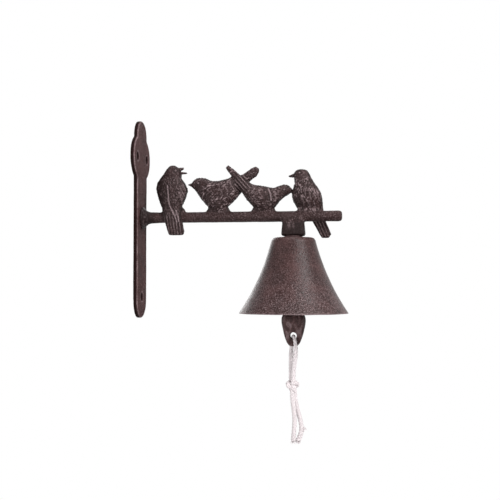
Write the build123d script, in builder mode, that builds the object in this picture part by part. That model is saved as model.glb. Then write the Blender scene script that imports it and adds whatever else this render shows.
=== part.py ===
from build123d import *

import os
from math import cos, radians, sin, tan

# A cast-iron wall bell. A plate on the wall carries a branch with four birds perched on it, a bell
# is bolted tight under the branch, and a clapper with a cotton pull cord hangs inside the bell.
# Frame: the wall is the plane x = 0, the branch runs out along +X, +Z is up and y = 0 halves the
# bracket. The origin is where the branch's axis meets the wall. Lengths are in millimetres.

# Wall plate
PLATE_THICKNESS = 4.0
PLATE_WIDTH = 33.0
PLATE_CREST = 34.6
PLATE_DROP = 93.0
PLATE_EDGE = 1.0
EAR_SPAN = 57.0
EAR_RADIUS = 19.5
EAR_HEIGHT = 56.0
EAR_BLEND = 6.0
WALL_HOLE_SPACING = 33.0
WALL_HOLE_RADIUS = 2.5
WALL_SINK_RADIUS = 4.4
LOWER_HOLE_DROP = 73.6

# Branch, with the foot that stands on the plate
BRANCH_LENGTH = 189.8
BRANCH_RADIUS = 4.8
BRANCH_END_ROUND = 2.4
FOOT_RADIUS = 9.2
FOOT_LIP = 1.2
FOOT_FLARE = 8.0

# Countersunk screw that draws the branch to the plate from behind
SCREW_RADIUS = 2.5
SCREW_HEAD_RADIUS = 5.0
SCREW_GRIP = 18.0
SCREW_SLOT_WIDTH = 1.2
SCREW_SLOT_DEPTH = 1.1
SCREW_RECESS = 0.3

# Lug under the branch
LUG_FROM_END = 44.2
LUG_DROP = 13.0
LUG_LENGTH = 21.6
LUG_DEPTH = 15.0
LUG_CORNER = 3.6
LUG_TAPER = 5.0
LUG_EDGE = 1.4

# Birds: the sections below are in hundredths of this size
BIRD_SIZE = 50.0
FIRST_PERCH = 34.1
LAST_PERCH_FROM_END = 29.7

# Bell
BELL_HEIGHT = 69.0
BELL_SHOULDER_RADIUS = 19.5
BELL_MOUTH_RADIUS = 50.0
BELL_HOLLOW = 3.4
BELL_WALL = 3.2
BELL_CROWN = 4.0
BELL_CROWN_ROUND = 2.2

# Eye bolt, washer and nut that hold the bell to the lug
BOLT_RADIUS = 3.0
BOLT_ENGAGEMENT = 10.0
BOLT_TAIL = 1.5
EYE_BORE = 4.0
EYE_WIRE = 2.0
SPACER_RADIUS = 8.4
SPACER_THICKNESS = 1.6
WASHER_RADIUS = 8.0
WASHER_THICKNESS = 1.2
NUT_ACROSS_FLATS = 10.0
NUT_THICKNESS = 5.0
NUT_CHAMFER = 0.7

# Link and clapper
LINK_BORE = 5.8
LINK_WIRE = 1.3
CLAPPER_EYE_BORE = 2.8
CLAPPER_EYE_BAR = 2.1
CLAPPER_STEM_RADIUS = 2.7
CLAPPER_BALL_DROP = 40.7
CLAPPER_BALL_RADIUS = 11.0
CLAPPER_BALL_DEPTH = 8.6
CLAPPER_TAIL_DROP = 64.5
CORD_HOLE_DROP = 54.7
CORD_HOLE_RADIUS = 3.1
TAIL_HALF_WIDTH = 8.4
TAIL_HALF_THICKNESS = 3.2
TAIL_TIP_RADIUS = 1.6

# Pull cord
CORD_RADIUS = 1.8
KNOT_RADIUS = 6.4
KNOT_FLAT_RADIUS = 4.8

# Clearances
THREAD_FIT = 0.1
BOLT_CLEARANCE = 0.3
LINK_CLEARANCE = 0.3

os.makedirs("parts", exist_ok=True)

plate_rise = EAR_HEIGHT + PLATE_CREST
branch_start = PLATE_THICKNESS
branch_top = BRANCH_RADIUS
bell_x = BRANCH_LENGTH - LUG_FROM_END
lug_bottom = -BRANCH_RADIUS - LUG_DROP
bell_top = lug_bottom - SPACER_THICKNESS
crown_under = bell_top - BELL_CROWN
nut_under = crown_under - WASHER_THICKNESS - NUT_THICKNESS
eye_z = nut_under - BOLT_TAIL - EYE_WIRE - EYE_BORE
eye_wire_z = eye_z - EYE_BORE - EYE_WIRE
link_top_z = eye_wire_z + EYE_WIRE + LINK_CLEARANCE + LINK_WIRE
link_z = link_top_z - LINK_BORE - LINK_WIRE
link_wire_z = link_z - LINK_BORE - LINK_WIRE
clapper_eye_z = link_wire_z + LINK_WIRE + LINK_CLEARANCE - CLAPPER_EYE_BORE
ball_z = link_wire_z - CLAPPER_BALL_DROP
cord_hole_z = link_wire_z - CORD_HOLE_DROP
tail_z = link_wire_z - CLAPPER_TAIL_DROP

# Each bird is a run of oval cross-sections: place along the branch from its perch, height above
# the branch's top, lean of the section from upright in degrees, half height, half depth, and place
# towards the back. All but the lean are in hundredths of BIRD_SIZE.
SINGING_BIRD = [
    (7.8, -43.0, 90, 13.8, 3.2, -14.4),
    (7.2, -36.0, 90, 16.0, 4.4, -14.4),
    (3.2, -19.6, 90, 16.4, 5.2, -14.0),
    (-0.4, -5.6, 90, 16.6, 6.4, -12.8),
    (-2.8, 8.4, 90, 18.0, 11.2, -7.2),
    (-2.6, 23.4, 90, 24.6, 16.4, -3.0),
    (-3.2, 41.4, 90, 29.8, 19.2, 0.0),
    (-5.2, 53.4, 90, 26.2, 17.6, 0.6),
    (-5.6, 63.4, 90, 19.2, 14.4, 0.0),
    (-1.8, 72.4, 90, 16.0, 13.2, -0.6),
    (-1.0, 80.4, 90, 12.2, 10.0, -0.6),
    (-2.2, 87.0, 90, 4.8, 3.8, -0.6),
]
LEFT_BIRD = [
    (-56.4, 50.8, 0, 0.8, 0.8, 0.0),
    (-50.2, 50.4, 0, 3.0, 2.6, 0.0),
    (-46.0, 51.2, 0, 7.8, 6.4, 0.0),
    (-40.2, 50.0, 0, 13.0, 9.6, 0.0),
    (-32.8, 44.4, 0, 19.0, 12.4, 0.0),
    (-23.4, 38.4, 0, 24.0, 14.4, 0.0),
    (-14.0, 31.0, 0, 26.4, 16.4, 0.0),
    (0.0, 27.6, 0, 29.4, 17.2, 0.0),
    (14.0, 33.4, 0, 26.8, 16.0, 0.0),
    (26.0, 41.2, 0, 24.4, 13.6, 1.0),
    (34.0, 46.0, 0, 21.0, 11.0, 2.4),
    (42.2, 51.8, 0, 16.4, 8.0, 4.4),
    (53.4, 63.2, 0, 11.8, 5.0, 6.0),
    (62.0, 70.8, 0, 10.6, 4.2, 6.0),
    (70.0, 74.4, 0, 9.6, 3.8, 6.0),
    (75.2, 76.4, 0, 3.2, 2.0, 6.0),
]
RIGHT_BIRD = [
    (-67.0, 83.0, -45, 3.8, 2.8, -6.4),
    (-56.0, 71.4, -46, 5.9, 3.6, -6.2),
    (-45.6, 58.8, -44, 8.4, 5.4, -4.6),
    (-30.2, 41.8, -36, 12.2, 10.6, -1.8),
    (-24.4, 35.4, -24, 15.3, 13.2, -0.6),
    (-12.4, 27.6, -12, 20.6, 16.2, 0.0),
    (4.0, 21.6, 0, 23.8, 16.4, 0.0),
    (19.4, 24.0, 0, 18.6, 14.0, 0.0),
    (30.0, 32.6, 0, 13.8, 11.2, 0.0),
    (38.0, 37.6, 0, 11.6, 10.0, 0.0),
    (46.0, 38.8, 0, 8.4, 8.0, 0.0),
    (52.6, 37.4, 0, 3.0, 2.8, 0.0),
    (57.0, 36.8, 0, 1.0, 1.0, 0.0),
]
END_BIRD = [
    (28.0, -48.6, 90, 7.0, 2.4, 14.0),
    (28.4, -42.4, 90, 10.8, 3.6, 14.0),
    (22.6, -30.0, 90, 11.4, 4.4, 14.0),
    (19.0, -23.0, 90, 11.8, 4.8, 14.0),
    (13.0, -9.6, 90, 13.0, 6.0, 12.4),
    (2.0, 3.4, 90, 23.0, 12.0, 6.0),
    (-2.4, 17.2, 90, 26.4, 17.0, 1.0),
    (-4.2, 26.4, 90, 27.0, 18.4, 0.0),
    (-5.4, 34.4, 90, 25.8, 18.0, -0.4),
    (-6.6, 42.4, 90, 22.2, 16.8, -0.6),
    (-8.6, 51.6, 90, 17.4, 14.0, -0.6),
    (-11.4, 59.0, 90, 15.8, 12.6, 0.0),
    (-13.6, 67.0, 90, 14.2, 12.0, 0.0),
    (-14.0, 73.6, 90, 10.8, 9.0, 0.0),
    (-14.0, 76.2, 90, 4.6, 3.6, 0.0),
]
SINGING_BEAK_UPPER = [(8.4, 79.2, 10, 3.4, 4.0, -0.6), (18.8, 81.6, 10, 1.6, 1.4, -0.6)]
SINGING_BEAK_LOWER = [(9.0, 72.8, 0, 2.6, 3.4, -0.6), (25.2, 72.6, 0, 0.8, 0.8, -0.6)]
END_BEAK = [(-37.4, 63.6, 0, 1.0, 1.0, 0.0), (-22.0, 65.8, 0, 4.6, 5.4, 0.0)]

# What sits at each perch, from the wall outwards
FLOCK = [
    [SINGING_BIRD, SINGING_BEAK_UPPER, SINGING_BEAK_LOWER],
    [LEFT_BIRD],
    [RIGHT_BIRD],
    [END_BIRD, END_BEAK],
]

# Clump of feet and casting fillet under each bird: half length and half depth at the bottom and top
CLUMP_BOTTOM = (25.0, 7.6)
CLUMP_TOP = (17.6, 8.4)
CLUMP_SINK = 3.0
CLUMP_RISE = 9.0


# Reach of a curve's handles beyond the oval that it draws
OVAL_FULLNESS = 4 / 3


def bird_section_plane(perch, along, up, lean, depth):
    """Plane of one cross-section, square to a direction that leans from +X towards +Z."""
    unit = BIRD_SIZE / 100
    origin = (perch + along * unit, depth * unit, branch_top + up * unit)
    return Plane(origin, x_dir=(0, 1, 0), z_dir=(cos(radians(lean)), 0, sin(radians(lean))))


def parted_oval(plane, half_depth, half_height):
    """Oval of a front and a back half, which meet on the casting's parting line."""
    with BuildSketch(plane) as profile:
        with BuildLine():
            for bulge in (-half_depth * OVAL_FULLNESS, half_depth * OVAL_FULLNESS):
                Bezier((0, half_height), (bulge, half_height), (bulge, -half_height), (0, -half_height))
        make_face()
    return profile.sketch


def bird_profiles(perch, sections):
    """Cross-sections of one bird's body or beak, ready to loft."""
    unit = BIRD_SIZE / 100
    profiles = []
    for along, up, lean, half_height, half_depth, depth in sections:
        plane = bird_section_plane(perch, along, up, lean, depth)
        profiles.append(parted_oval(plane, half_depth * unit, half_height * unit))
    return profiles


def clump_profiles(perch):
    """Bottom and top of the clump of feet that joins a bird to the branch."""
    unit = BIRD_SIZE / 100
    profiles = []
    for rise, (half_length, half_depth) in ((-CLUMP_SINK, CLUMP_BOTTOM), (CLUMP_RISE, CLUMP_TOP)):
        plane = bird_section_plane(perch, 0, rise, 90, 0)
        profiles.append(parted_oval(plane, half_depth * unit, half_length * unit))
    return profiles


def front_plane(x, z):
    """Plane facing the viewer, with its X along the branch and its Y upwards."""
    return Plane((x, 0, z), x_dir=(1, 0, 0), z_dir=(0, -1, 0))


def side_plane(x, z):
    """Plane across the branch, with its X towards the back and its Y upwards."""
    return Plane((x, 0, z), x_dir=(0, 1, 0), z_dir=(1, 0, 0))


# Wall plate: a round-ended strip with two ears, countersunk for three wall screws and, from behind,
# for the screw that holds the branch
with BuildPart() as wall_plate:
    with BuildSketch(Plane.YZ) as plate_outline:
        with Locations((0, (plate_rise - PLATE_DROP) / 2)):
            SlotOverall(plate_rise + PLATE_DROP, PLATE_WIDTH, rotation=90)
        with Locations((EAR_RADIUS - EAR_SPAN / 2, EAR_HEIGHT), (EAR_SPAN / 2 - EAR_RADIUS, EAR_HEIGHT)):
            Circle(EAR_RADIUS)
        ear_corners = plate_outline.vertices().filter_by(
            lambda corner: abs(abs(corner.Y) - PLATE_WIDTH / 2) < 0.01 and corner.Z < EAR_HEIGHT
        )
        ear_corners = ear_corners.filter_by(lambda corner: corner.Z > EAR_HEIGHT - EAR_RADIUS)
        fillet(ear_corners, EAR_BLEND)
    extrude(amount=PLATE_THICKNESS)
    chamfer(wall_plate.faces().sort_by(Axis.X)[-1].edges(), PLATE_EDGE)
    with Locations(Plane.YZ.offset(PLATE_THICKNESS)):
        with Locations(
            (-WALL_HOLE_SPACING / 2, EAR_HEIGHT), (WALL_HOLE_SPACING / 2, EAR_HEIGHT), (0, -LOWER_HOLE_DROP)
        ):
            CounterSinkHole(WALL_HOLE_RADIUS, WALL_SINK_RADIUS)
    with Locations(Plane.YZ.rotated((0, 180, 0))):
        CounterSinkHole(SCREW_RADIUS + BOLT_CLEARANCE, SCREW_HEAD_RADIUS + BOLT_CLEARANCE)
wall_plate.part.label = "wall_plate"
export_step(wall_plate.part, "parts/wall_plate.step")

# Branch casting: a round bar on a flared foot, the lug for the bell, and the four birds
last_perch = BRANCH_LENGTH - LAST_PERCH_FROM_END
perch_pitch = (last_perch - FIRST_PERCH) / (len(FLOCK) - 1)
bird_forms = []
for place, forms in enumerate(FLOCK):
    perch_x = FIRST_PERCH + place * perch_pitch
    bird_forms.extend(bird_profiles(perch_x, form) for form in forms)
clump_forms = [clump_profiles(FIRST_PERCH + place * perch_pitch) for place in range(len(FLOCK))]
with BuildPart() as bird_branch:
    with BuildSketch(Plane.XZ):
        with BuildLine():
            foot_edge = branch_start + FOOT_LIP
            Polyline(
                (BRANCH_LENGTH, 0), (branch_start, 0), (branch_start, FOOT_RADIUS), (foot_edge, FOOT_RADIUS)
            )
            TangentArc(
                (foot_edge + FOOT_FLARE, BRANCH_RADIUS), (foot_edge, FOOT_RADIUS), tangent=(-1, 0)
            )
            Polyline(
                (foot_edge + FOOT_FLARE, BRANCH_RADIUS),
                (BRANCH_LENGTH, BRANCH_RADIUS),
                (BRANCH_LENGTH, 0),
            )
        make_face()
    revolve(axis=Axis.X)
    fillet(bird_branch.faces().sort_by(Axis.X)[-1].edges(), BRANCH_END_ROUND)
    with BuildSketch(Plane((bell_x, 0, lug_bottom))):
        RectangleRounded(LUG_LENGTH, LUG_DEPTH, LUG_CORNER)
    extrude(amount=-lug_bottom, taper=LUG_TAPER)
    fillet(bird_branch.faces().sort_by(Axis.Z)[0].edges(), LUG_EDGE)
    for profiles in bird_forms + clump_forms:
        loft(profiles, ruled=True)
    with BuildSketch(Plane.YZ.offset(branch_start)):
        Circle(SCREW_RADIUS + THREAD_FIT)
    extrude(amount=SCREW_GRIP, mode=Mode.SUBTRACT)
    with BuildSketch(Plane((bell_x, 0, lug_bottom))):
        Circle(BOLT_RADIUS + THREAD_FIT)
    extrude(amount=BOLT_ENGAGEMENT, mode=Mode.SUBTRACT)
bird_branch.part.label = "bird_branch"
export_step(bird_branch.part, "parts/bird_branch.step")

# Countersunk slotted screw, sunk a little below the plate's back
with BuildPart() as branch_screw:
    head_depth = SCREW_HEAD_RADIUS - SCREW_RADIUS
    with BuildSketch(Plane.XZ):
        with BuildLine():
            Polyline(
                (SCREW_RECESS, 0),
                (SCREW_RECESS, SCREW_HEAD_RADIUS),
                (SCREW_RECESS + head_depth, SCREW_RADIUS),
                (PLATE_THICKNESS + SCREW_GRIP - BOLT_CLEARANCE, SCREW_RADIUS),
                (PLATE_THICKNESS + SCREW_GRIP - BOLT_CLEARANCE, 0),
                close=True,
            )
        make_face()
    revolve(axis=Axis.X)
    with BuildSketch(Plane.YZ.offset(SCREW_RECESS)):
        Rectangle(2 * SCREW_HEAD_RADIUS, SCREW_SLOT_WIDTH)
    extrude(amount=SCREW_SLOT_DEPTH, mode=Mode.SUBTRACT)
branch_screw.part.label = "branch_screw"
export_step(branch_screw.part, "parts/branch_screw.step")

# Bell: a flared cup with a thin rim, drilled through its crown
bell_side = Vector(BELL_MOUTH_RADIUS - BELL_SHOULDER_RADIUS, -BELL_HEIGHT)
bell_inward = Vector(bell_side.Y, -bell_side.X).normalized()
outer_top = Vector(BELL_SHOULDER_RADIUS, 0)
outer_rim = Vector(BELL_MOUTH_RADIUS, -BELL_HEIGHT)
outer_waist = outer_top + bell_side * 0.5 + bell_inward * BELL_HOLLOW
inner_waist = outer_waist + bell_inward * BELL_WALL
inner_rim = outer_rim - Vector(BELL_WALL, 0)
inner_top = Vector(BELL_SHOULDER_RADIUS - BELL_WALL, -BELL_CROWN)
with BuildPart() as bell:
    with BuildSketch(front_plane(bell_x, bell_top)):
        with BuildLine():
            ThreePointArc(outer_top, outer_waist, outer_rim)
            Line(outer_rim, inner_rim)
            ThreePointArc(inner_rim, inner_waist, inner_top)
            Polyline(inner_top, (0, -BELL_CROWN), (0, 0), outer_top)
        make_face()
    revolve(axis=Axis((bell_x, 0, 0), (0, 0, 1)))
    fillet(bell.faces().sort_by(Axis.Z)[-1].edges(), BELL_CROWN_ROUND)
    with Locations((bell_x, 0, bell_top)):
        Hole(BOLT_RADIUS + BOLT_CLEARANCE, depth=BELL_CROWN)
bell.part.label = "bell"
export_step(bell.part, "parts/bell.step")

# Eye bolt from the lug down through the crown, with its eye in the plane of the branch
shank_under = eye_z + EYE_BORE + EYE_WIRE
shank_top = lug_bottom + BOLT_ENGAGEMENT - BOLT_CLEARANCE
with BuildPart() as eye_bolt:
    with BuildSketch(Plane((bell_x, 0, shank_under))):
        Circle(BOLT_RADIUS)
    extrude(amount=shank_top - shank_under)
    with BuildSketch(side_plane(bell_x, eye_z)):
        with Locations((0, EYE_BORE + EYE_WIRE)):
            Circle(EYE_WIRE)
    revolve(axis=Axis((bell_x, 0, eye_z), (0, 1, 0)))
eye_bolt.part.label = "eye_bolt"
export_step(eye_bolt.part, "parts/eye_bolt.step")

# Spacer between the lug and the bell, and the washer and nut under the crown
with BuildPart() as lug_spacer:
    with BuildSketch(Plane((bell_x, 0, bell_top))):
        Circle(SPACER_RADIUS)
        Circle(BOLT_RADIUS + BOLT_CLEARANCE, mode=Mode.SUBTRACT)
    extrude(amount=SPACER_THICKNESS)
lug_spacer.part.label = "lug_spacer"
export_step(lug_spacer.part, "parts/lug_spacer.step")

with BuildPart() as crown_washer:
    with BuildSketch(Plane((bell_x, 0, crown_under - WASHER_THICKNESS))):
        Circle(WASHER_RADIUS)
        Circle(BOLT_RADIUS + BOLT_CLEARANCE, mode=Mode.SUBTRACT)
    extrude(amount=WASHER_THICKNESS)
crown_washer.part.label = "crown_washer"
export_step(crown_washer.part, "parts/crown_washer.step")

with BuildPart() as crown_nut:
    with BuildSketch(Plane((bell_x, 0, nut_under))):
        RegularPolygon(NUT_ACROSS_FLATS / 2, 6, major_radius=False)
    extrude(amount=NUT_THICKNESS)
    chamfer(crown_nut.faces().sort_by(Axis.Z)[0].edges(), NUT_CHAMFER)
    with BuildSketch(Plane((bell_x, 0, nut_under))):
        Circle(BOLT_RADIUS + THREAD_FIT)
    extrude(amount=NUT_THICKNESS, mode=Mode.SUBTRACT)
crown_nut.part.label = "crown_nut"
export_step(crown_nut.part, "parts/crown_nut.step")

# Wire link between the bolt's eye and the clapper's eye, across the branch
with BuildPart() as clapper_link:
    with BuildSketch(front_plane(bell_x, link_z)):
        with Locations((0, LINK_BORE + LINK_WIRE)):
            Circle(LINK_WIRE)
    revolve(axis=Axis((bell_x, 0, link_z), (1, 0, 0)))
clapper_link.part.label = "clapper_link"
export_step(clapper_link.part, "parts/clapper_link.step")

# Clapper: an eye and a stem, a ball that flattens into a tail, and the hole for the cord. The tail's
# sections are listed from its tip upwards.
stem_top = clapper_eye_z - CLAPPER_EYE_BORE - CLAPPER_EYE_BAR
ball_step = (ball_z - cord_hole_z) / 3
clapper_sections = [
    (tail_z, TAIL_TIP_RADIUS, TAIL_TIP_RADIUS),
    ((tail_z + cord_hole_z) / 2, 0.8 * TAIL_HALF_WIDTH, 0.9 * TAIL_HALF_THICKNESS),
    (cord_hole_z, TAIL_HALF_WIDTH, TAIL_HALF_THICKNESS),
    (ball_z - 2 * ball_step, 0.87 * CLAPPER_BALL_RADIUS, 0.62 * CLAPPER_BALL_DEPTH),
    (ball_z - ball_step, 0.96 * CLAPPER_BALL_RADIUS, 0.86 * CLAPPER_BALL_DEPTH),
    (ball_z, CLAPPER_BALL_RADIUS, CLAPPER_BALL_DEPTH),
    (ball_z + ball_step, 0.88 * CLAPPER_BALL_RADIUS, 0.9 * CLAPPER_BALL_DEPTH),
    (ball_z + 2 * ball_step, 0.5 * CLAPPER_BALL_RADIUS, 0.54 * CLAPPER_BALL_DEPTH),
]
clapper_profiles = [
    parted_oval(Plane((bell_x, 0, z), x_dir=(0, 1, 0)), half_depth, half_width)
    for z, half_width, half_depth in clapper_sections
]
with BuildPart() as clapper:
    loft(clapper_profiles)
    with BuildSketch(Plane((bell_x, 0, ball_z))):
        Circle(CLAPPER_STEM_RADIUS)
    extrude(amount=stem_top - ball_z)
    with BuildSketch(side_plane(bell_x, clapper_eye_z)):
        with Locations((0, CLAPPER_EYE_BORE + CLAPPER_EYE_BAR)):
            Circle(CLAPPER_EYE_BAR)
    revolve(axis=Axis((bell_x, 0, clapper_eye_z), (0, 1, 0)))
    with BuildSketch(front_plane(bell_x, cord_hole_z)):
        Circle(CORD_HOLE_RADIUS)
    extrude(amount=CLAPPER_BALL_DEPTH, both=True, mode=Mode.SUBTRACT)
clapper.part.label = "clapper"
export_step(clapper.part, "parts/clapper.step")

# Pull cord: points are measured from the middle of the clapper's hole. A doubled strand hangs through
# the hole to a knot, and its two tails hang below the knot.
LOOP_FRONT = [
    (-0.2, -2.0, -40.0), (-0.2, -2.0, -33.0), (1.2, -5.0, -22.0), (1.4, -6.2, -12.0), (1.4, -6.2, -5.86)
]
LOOP_TOP = (0.0, 0.0, 0.5)
LOOP_BACK = [
    (-1.4, 6.2, -5.86), (-1.4, 6.2, -12.0), (-2.9, 5.0, -22.0), (-2.6, 2.0, -33.0), (-2.6, 2.0, -40.0)
]
KNOT_TOP = (-1.0, 0.0, -40.0)
KNOT_BOTTOM = (-1.0, 0.0, -50.8)
STRAIGHT_TAIL = [
    (-1.1, -1.6, -50.8),
    (-1.1, -1.6, -57.0),
    (0.1, -1.4, -66.0),
    (1.0, -1.0, -76.0),
    (0.3, -0.6, -86.0),
    (-0.4, -0.6, -94.6),
]
BOWED_TAIL = [
    (1.0, 1.8, -50.8),
    (1.0, 1.8, -57.0),
    (3.0, 1.7, -66.0),
    (5.6, 1.4, -75.0),
    (7.3, 1.0, -83.0),
    (6.2, 0.8, -90.0),
    (4.0, 0.8, -94.6),
]


def cord_points(points):
    """Route points moved from the hole to the part's own frame."""
    return [Vector(bell_x, 0, cord_hole_z) + Vector(*point) for point in points]


def soft_radii(points):
    """The largest round at each corner that both of its runs leave room for."""
    radii = []
    for before, corner, after in zip(points, points[1:], points[2:]):
        turn = (corner - before).get_angle(after - corner)
        shorter = min((corner - before).length, (after - corner).length)
        radii.append(0.45 * shorter / tan(radians(turn / 2)))
    return radii


loop_front = cord_points(LOOP_FRONT)
loop_back = cord_points(LOOP_BACK)
with BuildPart() as cord_loop:
    with BuildLine() as loop_path:
        FilletPolyline(*loop_front, radius=soft_radii(loop_front))
        ThreePointArc(loop_front[-1], cord_points([LOOP_TOP])[0], loop_back[0])
        FilletPolyline(*loop_back, radius=soft_radii(loop_back))
    with BuildSketch(Plane(loop_front[0], z_dir=(0, 0, 1))):
        Circle(CORD_RADIUS)
    sweep(path=loop_path.wires()[0])
cord_loop.part.label = "cord_loop"
export_step(cord_loop.part, "parts/cord_loop.step")

knot_top, knot_bottom = cord_points([KNOT_TOP, KNOT_BOTTOM])
knot_height = (knot_top - knot_bottom).Z
with BuildPart() as cord_knot:
    with BuildSketch(front_plane(knot_bottom.X, knot_bottom.Z)):
        with BuildLine():
            Polyline((KNOT_FLAT_RADIUS, knot_height), (0, knot_height), (0, 0), (KNOT_FLAT_RADIUS, 0))
            ThreePointArc(
                (KNOT_FLAT_RADIUS, 0), (KNOT_RADIUS, knot_height / 2), (KNOT_FLAT_RADIUS, knot_height)
            )
        make_face()
    revolve(axis=Axis(knot_bottom, (0, 0, 1)))
cord_knot.part.label = "cord_knot"
export_step(cord_knot.part, "parts/cord_knot.step")

straight_points = cord_points(STRAIGHT_TAIL)
with BuildPart() as cord_tail_straight:
    with BuildLine() as straight_path:
        FilletPolyline(*straight_points, radius=soft_radii(straight_points))
    with BuildSketch(Plane(straight_points[0], z_dir=(0, 0, -1))):
        Circle(CORD_RADIUS)
    sweep(path=straight_path.wires()[0])
cord_tail_straight.part.label = "cord_tail_straight"
export_step(cord_tail_straight.part, "parts/cord_tail_straight.step")

bowed_points = cord_points(BOWED_TAIL)
with BuildPart() as cord_tail_bowed:
    with BuildLine() as bowed_path:
        FilletPolyline(*bowed_points, radius=soft_radii(bowed_points))
    with BuildSketch(Plane(bowed_points[0], z_dir=(0, 0, -1))):
        Circle(CORD_RADIUS)
    sweep(path=bowed_path.wires()[0])
cord_tail_bowed.part.label = "cord_tail_bowed"
export_step(cord_tail_bowed.part, "parts/cord_tail_bowed.step")

for name, points in (
    ("loop front", loop_front),
    ("loop back", loop_back),
    ("straight tail", straight_points),
    ("bowed tail", bowed_points),
):
    print(name, "bend radii", [round(radius, 1) for radius in soft_radii(points)])
for name, tube, path in (
    ("loop", cord_loop, loop_path),
    ("straight tail", cord_tail_straight, straight_path),
    ("bowed tail", cord_tail_bowed, bowed_path),
):
    length = path.wires()[0].length
    volume_share = tube.part.volume / (length * Circle(CORD_RADIUS).area)
    print(name, "length", round(length, 1), "volume share", round(volume_share, 4))
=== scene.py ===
import random
from math import cos, hypot, pi, radians, sin, sqrt

import bpy
import numpy as np
from mathutils import Matrix, Vector, noise


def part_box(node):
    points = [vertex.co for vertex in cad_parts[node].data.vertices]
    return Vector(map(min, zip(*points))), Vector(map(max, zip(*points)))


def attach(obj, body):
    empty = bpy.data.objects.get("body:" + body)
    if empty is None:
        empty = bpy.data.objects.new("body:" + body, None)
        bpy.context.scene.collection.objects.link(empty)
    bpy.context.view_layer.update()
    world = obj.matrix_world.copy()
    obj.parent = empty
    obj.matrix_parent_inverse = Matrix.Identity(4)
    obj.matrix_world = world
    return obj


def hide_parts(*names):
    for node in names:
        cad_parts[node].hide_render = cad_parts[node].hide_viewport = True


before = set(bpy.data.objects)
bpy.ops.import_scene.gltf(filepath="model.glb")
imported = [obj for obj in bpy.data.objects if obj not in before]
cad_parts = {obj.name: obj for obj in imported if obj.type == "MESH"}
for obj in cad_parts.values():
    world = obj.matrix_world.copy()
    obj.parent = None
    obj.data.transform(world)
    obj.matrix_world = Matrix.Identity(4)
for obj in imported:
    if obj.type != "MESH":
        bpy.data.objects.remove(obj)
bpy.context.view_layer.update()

MM = 0.001

# The bracket's own sizes, in millimetres, where the frame's boxes don't give them
WALL_HOLES = ((-16.5, 56.0), (16.5, 56.0), (0.0, -73.6))
WALL_SINK_RADIUS = 4.4
BRANCH_RADIUS = 4.8
PERCHES = (34.1, 76.1, 118.1, 160.1)
BELL_SHOULDER_RADIUS = 19.5
BELL_HOLLOW = 3.4
BELL_WALL = 3.2
BELL_CROWN = 4.0
BELL_CROWN_ROUND = 2.2
BELL_BORE = 3.3
CORD_RADIUS = 1.8

bell_low, bell_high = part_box("bell")
bell_x = (bell_low[0] + bell_high[0]) / 2 / MM
bell_top = bell_high[2] / MM
bell_height = (bell_high[2] - bell_low[2]) / MM
bell_mouth_radius = (bell_high[0] - bell_low[0]) / 2 / MM


# Finishes


class Value:
    """A shader socket. Python operators on it add Math nodes."""

    def __init__(self, nodes, socket):
        self.nodes = nodes
        self.socket = socket

    def math(self, operation, first, second):
        return self.nodes.node("ShaderNodeMath", {"operation": operation}, {0: first, 1: second})

    def __add__(self, other):
        return self.math("ADD", self, other)

    def __radd__(self, other):
        return self.math("ADD", other, self)

    def __sub__(self, other):
        return self.math("SUBTRACT", self, other)

    def __rsub__(self, other):
        return self.math("SUBTRACT", other, self)

    def __mul__(self, other):
        return self.math("MULTIPLY", self, other)

    def __rmul__(self, other):
        return self.math("MULTIPLY", other, self)


class Nodes:
    """The node tree of a material or of the world, emptied first."""

    def __init__(self, owner):
        owner.use_nodes = True
        self.tree = owner.node_tree
        self.tree.nodes.clear()

    def node(self, kind, settings=None, inputs=None, output=0):
        """Adds a node, sets it, feeds its sockets, and gives one of its outputs."""
        made = self.tree.nodes.new(kind)
        for name, value in (settings or {}).items():
            setattr(made, name, value)
        for name, value in (inputs or {}).items():
            if isinstance(value, Value):
                self.tree.links.new(value.socket, made.inputs[name])
            else:
                made.inputs[name].default_value = value
        return Value(self, made.outputs[output]) if made.outputs else None


class Finish(Nodes):
    """A node material, built from one Principled surface."""

    def __init__(self, name):
        self.material = bpy.data.materials.new(name)
        super().__init__(self.material)

    def place(self):
        return self.node("ShaderNodeTexCoord", output="Object")

    def stretched(self, place, turn, scale):
        return self.node("ShaderNodeMapping", inputs={"Vector": place, "Rotation": turn, "Scale": scale})

    def noise(self, place, grain_mm, detail=2.0, roughness=0.5):
        """Noise from 0 to 1 whose lumps are about as large as grain_mm."""
        sizes = {"Vector": place, "Scale": 1 / (grain_mm * MM), "Detail": detail, "Roughness": roughness}
        return self.node("ShaderNodeTexNoise", inputs=sizes)

    def pits(self, place, pitch_mm):
        """Distance from scattered points, 0 at each point."""
        return self.node("ShaderNodeTexVoronoi", inputs={"Vector": place, "Scale": 1 / (pitch_mm * MM)})

    def step(self, value, low, high):
        """0 below low, 1 above high, and smooth between."""
        edges = {"Value": value, "From Min": low, "From Max": high}
        return self.node("ShaderNodeMapRange", {"interpolation_type": "SMOOTHSTEP"}, edges)

    def mix(self, factor, first, second):
        return self.node("ShaderNodeMix", {"data_type": "RGBA"}, {0: factor, 6: first, 7: second}, output=2)

    def attribute(self, name):
        return self.node("ShaderNodeAttribute", {"attribute_name": name}, output="Fac")

    def bump(self, height, depth_mm, strength=1.0):
        sizes = {"Height": height, "Distance": depth_mm * MM, "Strength": strength}
        return self.node("ShaderNodeBump", inputs=sizes)

    def surface(self, **inputs):
        """Ends the material in a Principled surface, with names such as base_color for its sockets."""
        named = {name.replace("_", " ").title().replace("Ior", "IOR"): value for name, value in inputs.items()}
        shader = self.node("ShaderNodeBsdfPrincipled", inputs=named)
        self.node("ShaderNodeOutputMaterial", inputs={"Surface": shader})
        return self.material


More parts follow.
